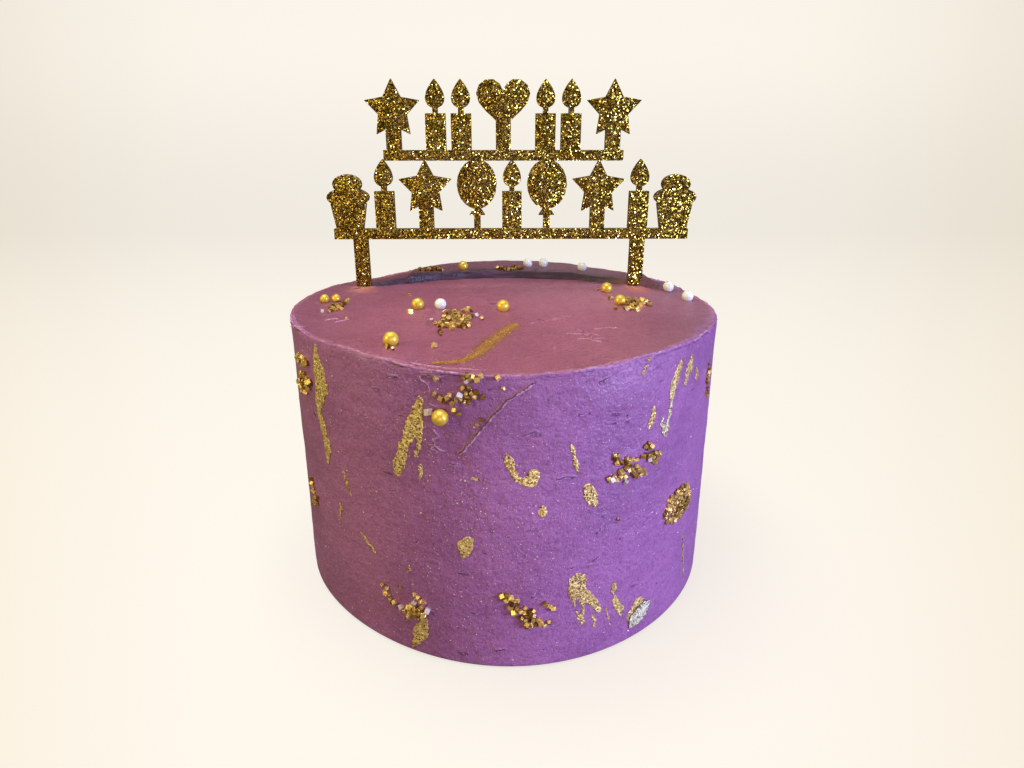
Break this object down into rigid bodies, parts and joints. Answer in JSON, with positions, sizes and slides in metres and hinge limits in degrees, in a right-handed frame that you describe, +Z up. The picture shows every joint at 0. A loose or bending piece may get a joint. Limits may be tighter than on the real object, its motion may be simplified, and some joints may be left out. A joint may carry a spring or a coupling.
{
  "type": "birthday cake",
  "caption": "Tall round cake in purple buttercream with sugar pearls, gold sugar crystals and gold leaf, and a flat gold glitter topper on two stakes.",
  "frame": {"origin": "centre of the cake's flat base, on the surface that it stands on", "axes": "+Z up along the cake's axis; the front faces -Y; +X is to the right seen from the front, along the topper"},
  "size_m": [0.1713, 0.1736, 0.1965],
  "materials": {
    "icing": "smoothed buttercream with a soft satin sheen",
    "glitter_acrylic": "clear acrylic sheet full of gold glitter",
    "gold_pearl": "satin gold sugar pearl",
    "white_pearl": "white pearl lustre",
    "gold_sugar": "coarse sugar crystals coated in gold lustre",
    "white_sugar": "clear white sugar crystals",
    "gold_leaf": "crinkled edible gold leaf"
  },
  "bodies": {
    "root": {"cake": "icing", "topper": "glitter_acrylic"}
  },
  "joints": []
}
